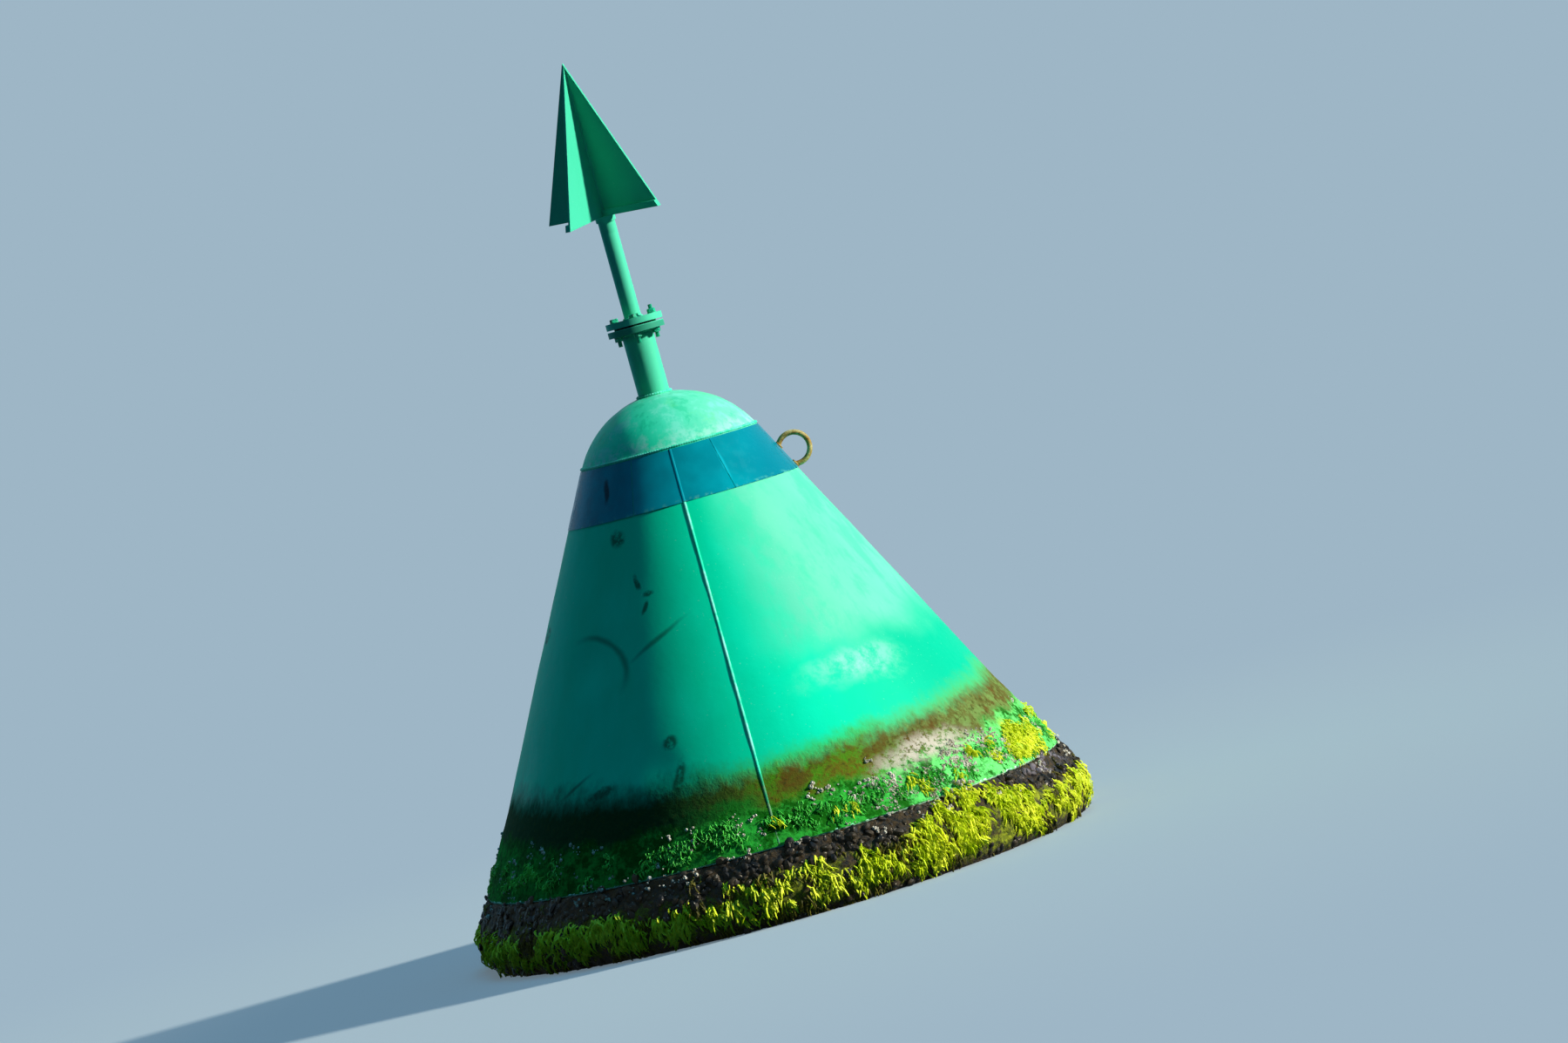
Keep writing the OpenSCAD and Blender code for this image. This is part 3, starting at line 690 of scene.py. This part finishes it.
def bead(path, radius, closed=False, pitch=0.007):
    """Weld bead along a path of points, with its ripples."""
    sides = 6
    rings, total = [], 0.0
    count = len(path)
    for i, spot in enumerate(path):
        before = path[i - 1] if closed or i > 0 else path[i]
        after = path[(i + 1) % count] if closed or i < count - 1 else path[i]
        along = (after - before).normalized()
        side = along.cross(Vector((0.31, 0.17, 0.94))).normalized()
        up = along.cross(side)
        swell = radius * (1 + 0.13 * sin(2 * pi * total / pitch))
        swell *= 1 + 0.22 * noise.noise(spot * 60)
        angles = [2 * pi * k / sides for k in range(sides)]
        rings.append([spot + (side * cos(angle) + up * sin(angle)) * swell for angle in angles])
        total += (after - spot).length
    if not closed:
        return lofted(rings)
    faces = [tuple(i % (count * sides) for i in face) for face in side_faces(count + 1, sides)]
    return [p for ring in rings for p in ring], faces


def ring_path(radius, z, step=0.0018, frame_of=None):
    """Closed circle of points about Z, moved into another frame if one is given."""
    path = circle(radius, z, max(24, int(2 * pi * radius / step)))
    return [frame_of @ p for p in path] if frame_of else path


def line_path(start, end, step=0.0018):
    count = max(2, int((end - start).length / step))
    return [start.lerp(end, i / count) for i in range(count + 1)]


def scattered(shapes, spots):
    """Copies of the shapes at spots of (place, out, ahead, size, shape number)."""
    blocks, faces, first = [], [], 0
    arrays = [(np.array(points, dtype=float), shape_faces) for points, shape_faces in shapes]
    for place, out, ahead, size, number in spots:
        points, shape_faces = arrays[number % len(arrays)]
        along = (ahead - out * ahead.dot(out)).normalized()
        across = out.cross(along)
        turned = np.array([along * size[0], across * size[1], out * size[2]])
        blocks.append(points @ turned + np.array(place))
        faces.extend([tuple(first + i for i in face) for face in shape_faces])
        first += len(points)
    return np.concatenate(blocks).tolist(), faces


# Hull skins: a shift says how far a skin stands out at a point, azimuth and height

def lumps(spot, scale):
    """Rough lumps of growth, from 0 upwards."""
    return max(0.0, 0.5 + 0.5 * noise.fractal(spot * scale, 0.9, 2.1, 4))


def plate_shift(spot, turn, z):
    """Waves and dents of the cone plate, and the film that thickens towards its foot."""
    wave = 0.0016 * noise.noise(spot * 3.1) + 0.0006 * noise.noise(spot * 9)
    for azimuth, dent_z, reach, depth in PLATE_DENTS:
        away = (spot - on_hull(radians(azimuth), dent_z)[0]).length / reach
        if away < 1:
            wave -= depth * (1 - away * away) ** 2
    film_top = 0.362 + 0.05 * (1 + sin(turn))
    film = clamped((film_top + 0.05 * noise.noise(spot * 7) - z) / 0.12)
    return wave + film * (0.0008 + 0.0052 * lumps(spot, 55))


def cone_plating():
    """Cone plate with its waves, dents and crusted foot, in finer rows over that foot."""
    foot_top, foot_rows, body_rows, steps = 0.45, 64, 56, 560
    lip_inset = 0.006
    heights = [LIP_Z + (foot_top - LIP_Z) * i / foot_rows for i in range(foot_rows)]
    heights += [foot_top + (SEAT_Z - foot_top) * i / body_rows for i in range(body_rows + 1)]
    rows = [(shell_r(LIP_Z) - lip_inset, LIP_Z, 0, 0)]
    rows += [(shell_r(z), z, cos(HALF_ANGLE), sin(HALF_ANGLE)) for z in heights]
    shape = revolved(rows, steps, plate_shift)
    add_piece("cone_plating", shape, HULL_PAINT, ["cone_shell"])


def head_shift(spot, turn, z):
    """Slight waves of the pressed head."""
    return 0.0011 * noise.noise(spot * 8) + 0.0004 * noise.noise(spot * 30)


def head_plating():
    """Pressed head with the small flats that its forming left."""
    count, steps = 56, 256
    rows = []
    for i in range(count):
        rise = HALF_ANGLE + (pi / 2 - HALF_ANGLE) * i / count
        rows.append((HEAD_R * cos(rise), HEAD_Z + HEAD_R * sin(rise), cos(rise), sin(rise)))
    shape = revolved(rows, steps, head_shift)
    add_piece("head_plating", shape, HEAD_PAINT, ["dome_head"])


def crust_shift(spot, turn, z):
    """Crust of old growth on the belt and the knuckle, which thins out under the lip."""
    under_lip = clamped((LIP_Z - z) / 0.012)
    swell = 0.5 + 0.5 * noise.noise(spot * 5)
    return under_lip * (0.001 + 0.010 * lumps(spot, 24) + 0.008 * swell)


def belt_crust():
    """Belt and knuckle under their crust, from the bottom round to the lip."""
    knuckle_rows, belt_rows, steps = 44, 26, 800
    under_lip = LIP_Z - 0.0001
    start = acos((KNUCKLE_Z - KNUCKLE_LOW_Z) / KNUCKLE_R) - pi / 2
    rows = []
    for i in range(knuckle_rows):
        rise = start + (HALF_ANGLE - start) * i / knuckle_rows
        rows.append((KNUCKLE_C + KNUCKLE_R * cos(rise), KNUCKLE_Z + KNUCKLE_R * sin(rise),
                     cos(rise), sin(rise)))
    for i in range(belt_rows + 1):
        z = KNUCKLE_TOP_Z + (LIP_Z - KNUCKLE_TOP_Z) * i / belt_rows
        rows.append((hull_r(min(z, under_lip)), z, cos(HALF_ANGLE), sin(HALF_ANGLE)))
    shape = revolved(rows, steps, crust_shift)
    add_piece("belt_crust", shape, CRUST_HULL, ["girth_belt", "knuckle_ring"])


# Welds, bolts and the ridge over the band

def hull_welds():
    """Beads round both ends of the head: at the cone and at the mast stub."""
    foot_z = HEAD_Z + sqrt(HEAD_R ** 2 - STUB_R ** 2)
    shapes = [
        bead(ring_path(SEAT_R - 0.0005, SEAT_Z + 0.001), 0.0042, closed=True),
        bead(ring_path(STUB_R + 0.0015, foot_z + 0.001), 0.0052, closed=True),
    ]
    add_piece("hull_welds", joined(shapes), WELD_PAINT)


def eye_welds():
    """Beads round both feet of the lifting eye."""
    centre, out = on_hull(0.0, SEAT_Z - EYE_DROP, EYE_OUT)
    up = Vector((-sin(HALF_ANGLE), 0, cos(HALF_ANGLE)))
    spread = sqrt(EYE_RING_R ** 2 - EYE_OUT ** 2)
    turned = Matrix((up, out.cross(up), out)).transposed().to_4x4()
    shapes = []
    for side in (-1, 1):
        foot = centre - out * (EYE_OUT - BAND_FACE - 0.001) + up * spread * side
        frame_of = Matrix.Translation(foot) @ turned
        path = ring_path(EYE_BAR_R + 0.002, 0, 0.0014, frame_of)
        shapes.append(bead(path, 0.0032, closed=True))
    add_piece("eye_welds", joined(shapes), EYE_PAINT)


def mark_frame():
    """From the topmark's own frame to the hull's, past the kink in the pole."""
    return (Matrix.Translation((0, 0, KINK_Z)) @ Matrix.Rotation(POLE_KINK, 4, "X")
            @ Matrix.Translation((0, 0, POLE_HEAD)) @ Matrix.Rotation(MARK_TURN, 4, "Z"))


def mast_welds():
    """Beads round the mast's two flanges and up the four corners of the topmark."""
    shapes = [
        bead(ring_path(STUB_R + 0.001, FLANGE_LOW_Z - 0.001), 0.004, closed=True),
        bead(ring_path(POLE_R + 0.001, FLANGE_TOP_Z + 0.001), 0.0035, closed=True),
    ]
    frame_of = mark_frame()
    corner = MARK_T / 2 + 0.0006
    for side_x in (-1, 1):
        for side_y in (-1, 1):
            low = frame_of @ Vector((corner * side_x, corner * side_y, 0.012))
            high = frame_of @ Vector((corner * side_x * 0.9, corner * side_y * 0.9, MARK_H * 0.95))
            shapes.append(bead(line_path(low, high), 0.0026))
    add_piece("mast_welds", joined(shapes), MAST_PAINT)


def hexagon(low, high):
    """Hexagon nut or head with its top edge bevelled."""
    across, bevel = 0.0205, 0.0012
    r = across / sqrt(3)
    return lofted([circle(r, low, 6), circle(r, high - bevel, 6), circle(r * 0.86, high, 6)])


def cylinder(radius, low, high, sides):
    return lofted([circle(radius, low, sides), circle(radius, high, sides)])


def thread(radius, low, high):
    """Threaded end of a bolt, as ridges and grooves."""
    pitch, groove = 0.00175, 0.88
    count = max(2, int((high - low) / pitch * 2))
    rings = []
    for i in range(count + 1):
        share = 1.0 if i % 2 else groove
        rings.append(circle(radius * share, low + (high - low) * i / count, 12))
    return lofted(rings)


def flange_bolts():
    """Bolts through the two flanges, heads up on most, threads of uneven length below."""
    rng = random.Random(11)
    washer_r, washer_t, bolt_r = 0.0125, 0.0025, 0.006
    nut_t, head_t, lap = 0.0105, 0.0085, 0.002
    top, low = FLANGE_TOP_Z + washer_t, FLANGE_LOW_Z - washer_t
    shapes = []
    for i in range(BOLT_COUNT):
        place = Matrix.Translation(polar((i + 0.5) * 2 * pi / BOLT_COUNT, BOLT_CIRCLE_R))
        spin = Matrix.Rotation(rng.uniform(0, pi / 3), 4, "Z")
        tail = rng.uniform(0.008, 0.020)
        parts = [cylinder(washer_r, FLANGE_TOP_Z, top, 20),
                 cylinder(washer_r, low, FLANGE_LOW_Z, 20)]
        if i == BOLT_COUNT - 1:
            parts.append(hexagon(top, top + nut_t))
            parts.append(thread(bolt_r, top + nut_t - lap, top + nut_t + tail))
            parts.append(hexagon(low - head_t, low))
        else:
            parts.append(hexagon(top, top + head_t))
            parts.append(hexagon(low - nut_t, low))
            parts.append(thread(bolt_r, low - nut_t - tail, low - nut_t + lap))
        parts.append(cylinder(bolt_r, low, top, 16))
        shapes += [([place @ spin @ p for p in points], faces) for points, faces in parts]
    add_piece("flange_bolts", joined(shapes), BOLT_PAINT, sharp=25)


def strip_over(low_z, high_z, lift, rise, steps):
    """Half-round strip up the cone plate over its joint, uneven as a hand weld is."""
    half = 0.0046
    rings = []
    for i in range(steps + 1):
        foot, out = on_hull(FRONT, low_z + (high_z - low_z) * i / steps, lift)
        height = rise * (1 + 0.16 * noise.noise(foot * 17))
        angles = [pi * k / 6 for k in range(7)]
        rings.append([foot + Vector((half * cos(angle), 0, 0)) + out * (height * sin(angle))
                      for angle in angles])
    return lofted(rings)


def seam_weld():
    """The plate joint: bare over the cone, under the reflective sheets at its top."""
    strip = strip_over(LIP_Z + 0.001, BAND_LOW_Z - 0.001, -0.001, 0.0044, 420)
    add_piece("seam_weld", strip, SEAM_PAINT, ["cone_seam"])
    ridge = strip_over(BAND_LOW_Z + 0.001, BAND_TOP_Z - 0.001, BAND_FACE - 0.001, 0.0026, 60)
    add_piece("band_ridge", ridge, BAND_SHEET)


def lip_bead():
    """Chipped edge of the cone plate, painted pale as a painted highlight for the light that it
    catches.
    """
    path = ring_path(LIP_R - 0.0022, LIP_Z + 0.0012, 0.003)
    shape = bead(path, 0.0042, closed=True, pitch=0.02)
    add_piece("lip_bead", shape, LIP_HIGHLIGHT_PAINT)


# Growth

DOWN = Vector((0, 0, -1))


def mussel_shape():
    """Mussel shell along +X, from its pointed end, one unit long."""
    rings = []
    for x, wide, tall in [(0.0, 0.05, 0.05), (0.22, 0.26, 0.20), (0.55, 0.38, 0.26),
                          (0.85, 0.30, 0.20), (1.0, 0.10, 0.07)]:
        rings.append([Vector((x, wide * cos(pi * k / 3), 0.12 + tall * sin(pi * k / 3)))
                      for k in range(6)])
    return lofted(rings)


def barnacle_shape(lean):
    """Low cone with a crater, one unit in radius."""
    rings = []
    angles = [2 * pi * k / 7 for k in range(7)]
    for radius, z, shift in [(1.0, -0.1, 0), (0.52, 0.75, lean), (0.26, 0.45, lean)]:
        rings.append([Vector((radius * cos(angle) + shift, radius * sin(angle), z))
                      for angle in angles])
    return lofted(rings)


def blade_shape(curl, rise):
    """Strand of weed along +X, one unit long, thin, arched and curled."""
    rings = []
    for t, half in [(0.0, 0.35), (0.35, 0.5), (0.7, 0.36), (1.0, 0.06)]:
        lift = rise * sin(pi * min(1, t * 0.92)) - 0.06
        aside = curl * t * t
        rings.append([Vector((t, aside - half, lift)), Vector((t, aside + half, lift)),
                      Vector((t, aside, lift + 0.35))])
    return lofted(rings)


def growth_spots(seed, count, z_range, density, size, turning, lift, clump=1, spread=0.0):
    """Random spots on the hull where density(turn, z, place) lets growth stand, in clumps."""
    rng = random.Random(seed)
    spots = []
    while len(spots) < count:
        turn = rng.uniform(-pi, pi)
        z = rng.uniform(*z_range)
        if rng.random() > density(turn, z, on_hull(turn, z)[0]):
            continue
        lean_all = rng.gauss(0, turning * 0.6)
        scale_all = rng.uniform(0.75, 1.25)
        number = rng.randrange(6)
        for _ in range(clump):
            turn_here = turn + rng.gauss(0, spread) / hull_r(z)
            z_here = z + rng.gauss(0, spread * 0.7)
            place, out = on_hull(turn_here, z_here, lift)
            across = Vector((-sin(turn_here), cos(turn_here), 0))
            lean = lean_all + rng.gauss(0, turning)
            ahead = DOWN * cos(lean) + across * sin(lean)
            tilt = (out + across * rng.gauss(0, 0.25) + DOWN * rng.gauss(0, 0.2)).normalized()
            dims = [v * scale_all for v in size(rng)]
            spots.append((place, tilt, ahead, dims, number + rng.randrange(2)))
    return spots


def clumps(place, scale, sharpness, level):
    """Share of growth at a place, in clumps of noise; a higher level leaves fewer gaps."""
    return clamped(0.5 + sharpness * (noise.noise(place * scale) + level))


def bell(z, middle, half):
    """1 at the middle height, 0 beyond a half height of it."""
    return max(0.0, 1 - ((z - middle) / half) ** 2)


def seam_angle(turn):
    """Azimuth from the seam, towards the eye."""
    return atan2(cos(turn), -sin(turn))


def beside(turn, middle, half):
    """1 at the middle azimuth from the seam, 0 beyond a half width of it, in degrees."""
    return max(0.0, 1 - abs(seam_angle(turn) - radians(middle)) / radians(half))


def weed_top(turn, place):
    """Height that the yellow belt reaches: up to the lip a little to the right of the seam."""
    high = 0.068 * exp(-((degrees(seam_angle(turn)) - 38) / 15) ** 4)
    return 0.126 + high + 0.024 * noise.noise(place * 3.2) + 0.016 * noise.noise(place * 13)


def mussel_beds():
    """Mussels under the lip above the weed, along the water, and a few between."""
    def density(turn, z, place):
        over_weed = clamped((z - weed_top(turn, place) + 0.012) / 0.012)
        under_lip = over_weed * min(1.0, (0.198 - z) / 0.01) * clumps(place, 9, 4, 0.22)
        at_water = bell(z, 0.008, 0.035) * clumps(place, 7, 4, 0.05)
        return max(under_lip, at_water, 0.16 * clumps(place, 6, 5, -0.12))

    def size(rng):
        length = rng.uniform(0.016, 0.030)
        return (length, length * rng.uniform(0.85, 1.1), length * rng.uniform(0.9, 1.3))

    spots = growth_spots(21, 2500, (-0.02, 0.196), density, size, 0.9, 0.006)
    add_piece("mussel_beds", scattered([mussel_shape()], spots), MUSSEL)


def barnacle_belt():
    """Barnacles over the foot of the cone, and some under the lip."""
    def on_foot(turn, z, place):
        back = 0.6 * max(0.0, sin(turn - 0.4)) ** 2
        belt = bell(z, 0.262, 0.062) * clumps(place, 13, 4, -0.02)
        belt *= min(1.0, 1.6 * beside(turn, 38, 26) + back)
        front = 0.06 * bell(z, 0.27, 0.05) * clumps(place, 16, 5, -0.1)
        return max(belt, front, 0.012 if z < 0.35 else 0.0)

    def under_lip(turn, z, place):
        share = 0.25 + 0.75 * beside(turn, 34, 16)
        return share * bell(z, 0.174, 0.034) * clumps(place, 15, 5, -0.05)

    def size(rng):
        r = 0.0022 + 0.0042 * rng.random() ** 2
        return (r, r, r * rng.uniform(0.8, 1.3))

    spots = growth_spots(33, 2700, (0.20, 0.36), on_foot, size, 3.0, 0.0025, 5, 0.009)
    spots += growth_spots(35, 480, (0.13, 0.21), under_lip, size, 3.0, 0.015, 3, 0.007)
    shapes = [barnacle_shape(lean) for lean in (0.0, 0.14, -0.1)]
    add_piece("barnacle_belt", scattered(shapes, spots), BARNACLE)


def yellow_belt(turn, z, place):
    top = weed_top(turn, place)
    if z > top:
        return 0.0
    rim = min(1.0, (top - z) / 0.02)
    foot = clamped((z - 0.030) / 0.040)
    thick = 1.0 if top > 0.165 else 0.5
    return (0.5 + 0.5 * rim) * foot * clumps(place, 8, 4, 0.20) * thick


def yellow_tufts(turn, z, place):
    side = exp(-((turn + radians(27)) / 0.13) ** 2) + 0.10 * max(0.0, cos(turn + 0.2)) ** 2
    return min(1.0, side) * bell(z, 0.262, 0.055) * clumps(place, 12, 4, 0.1)


def green_fringe(turn, z, place):
    return bell(z, 0.250, 0.042) * clumps(place, 13, 5, -0.02)


def dark_weed(turn, z, place):
    return max(bell(z, 0.015, 0.055), 0.35 * bell(z, 0.12, 0.07)) * clumps(place, 9, 4, 0.1)


# Weeds: name, look, density, seed, number, lowest and highest, blade length, width, lift
WEEDS = [
    ("weed_yellow", WEED_YELLOW, yellow_belt, 41, 8200, (0.030, 0.200), 0.034, 0.0064, 0.008),
    ("weed_yellow_high", WEED_YELLOW, yellow_tufts, 43, 1500, (0.205, 0.32), 0.024, 0.0046, 0.003),
    ("weed_green", WEED_GREEN, green_fringe, 47, 4400, (0.222, 0.30), 0.018, 0.0036, 0.002),
    ("weed_dark", WEED_DARK, dark_weed, 53, 3600, (-0.03, 0.19), 0.034, 0.0055, 0.007),
]
# Curl and rise of the blades
BLADES = [(0.0, 1.2), (0.9, 1.6), (-0.9, 0.9), (0.5, 2.0), (-0.5, 1.4), (1.4, 1.0)]


def weed_beds():
    """Four kinds of weed, in clumps of blades that hang down the hull."""
    shapes = [blade_shape(curl, rise) for curl, rise in BLADES]
    for name, look, density, seed, count, z_range, length, width, lift in WEEDS:
        def size(rng):
            long = rng.uniform(0.5, 1.2) * length
            return (long, width * rng.uniform(0.7, 1.3), width * rng.uniform(0.6, 1.5))

        spots = growth_spots(seed, count, z_range, density, size, 0.30, lift, 14, 0.010)
        add_piece(name, scattered(shapes, spots), look)


for make in (cone_plating, head_plating, belt_crust, hull_welds, eye_welds, mast_welds,
             flange_bolts, seam_weld, lip_bead, mussel_beds, barnacle_belt, weed_beds):
    make()


# Floor, light and camera

def seen_share(nodes, links):
    """1 for rays that show the backdrop, 0 for those that carry its light to the object."""
    path = nodes.new("ShaderNodeLightPath")
    share = path.outputs["Is Camera Ray"]
    for kind in ("Is Glossy Ray", "Is Transmission Ray"):
        add = nodes.new("ShaderNodeMath")
        add.operation = "ADD"
        add.use_clamp = True
        links.new(share, add.inputs[0])
        links.new(path.outputs[kind], add.inputs[1])
        share = add.outputs[0]
    return share


def blended(nodes, links, share, first, second):
    """Two shaders blended by a share, the second where it is 1."""
    blend = nodes.new("ShaderNodeMixShader")
    links.new(share, blend.inputs["Fac"])
    links.new(first.outputs[0], blend.inputs[1])
    links.new(second.outputs[0], blend.inputs[2])
    return blend.outputs[0]


def pale_floor():
    """Sea-grey floor with the buoy's shadow, which fades into the backdrop's plain colour."""
    g = Graph("pale_floor")
    share = seen_share(g.nodes, g.links)
    g.finish(g.mix(share, (0.02, 0.09, 0.15, 1), FLOOR_TONE), 0.9, level=0.0)
    x, y, _ = g.axes()
    away = g.math("SQRT", g.plus(g.times(x, x), g.times(y, y)))
    plain = g.add("Emission", {"Color": BACKDROP})
    faded = g.times(share, g.span(away, 1.4, 4.5, 0.35, 1.0))
    surface = blended(g.nodes, g.links, faded, g.shader, plain)
    g.links.new(surface, g.nodes["Material Output"].inputs["Surface"])
    return g.material


def make_floor():
    half = 60.0
    mesh = bpy.data.meshes.new("stage_floor")
    corners = [(-half, -half, 0), (half, -half, 0), (half, half, 0), (-half, half, 0)]
    mesh.from_pydata(corners, [], [(0, 1, 2, 3)])
    floor = bpy.data.objects.new("stage_floor", mesh)
    SCENE.collection.objects.link(floor)
    mesh.materials.append(pale_floor())


def make_world():
    """Dim blue sky for the object, the backdrop's plain colour for what is seen."""
    world = bpy.data.worlds.new("studio_world")
    SCENE.world = world
    world.use_nodes = True
    nodes, links = world.node_tree.nodes, world.node_tree.links
    nodes.clear()
    sky = nodes.new("ShaderNodeBackground")
    sky.inputs["Color"].default_value = (0.12, 0.5, 1.0, 1)
    sky.inputs["Strength"].default_value = 0.016
    plain = nodes.new("ShaderNodeBackground")
    plain.inputs["Color"].default_value = BACKDROP
    out = nodes.new("ShaderNodeOutputWorld")
    surface = blended(nodes, links, seen_share(nodes, links), sky, plain)
    links.new(surface, out.inputs["Surface"])


def make_lamps():
    for name, azimuth, height, strength, width, color in LAMPS:
        data = bpy.data.lights.new(name, "SUN")
        data.energy = strength
        data.angle = radians(width)
        data.color = color
        lamp = bpy.data.objects.new(name, data)
        SCENE.collection.objects.link(lamp)
        toward = polar(azimuth, cos(height), sin(height))
        lamp.rotation_euler = toward.to_track_quat("Z", "Y").to_euler()


def make_camera():
    """Camera rolled by the heel, so that the upright hull leans in the picture."""
    data = bpy.data.cameras.new("view_camera")
    data.lens = LENS
    data.sensor_width = 36
    data.clip_end = 200
    camera = bpy.data.objects.new("view_camera", data)
    SCENE.collection.objects.link(camera)
    ahead = (AIM - CAMERA_PLACE).normalized()
    right = ahead.cross(Vector((sin(HEEL), 0, cos(HEEL)))).normalized()
    turned = Matrix((right, right.cross(ahead), -ahead)).transposed().to_4x4()
    camera.matrix_world = Matrix.Translation(CAMERA_PLACE) @ turned
    SCENE.camera = camera


make_floor()
make_world()
make_lamps()
make_camera()
SCENE.view_settings.view_transform = "Standard"
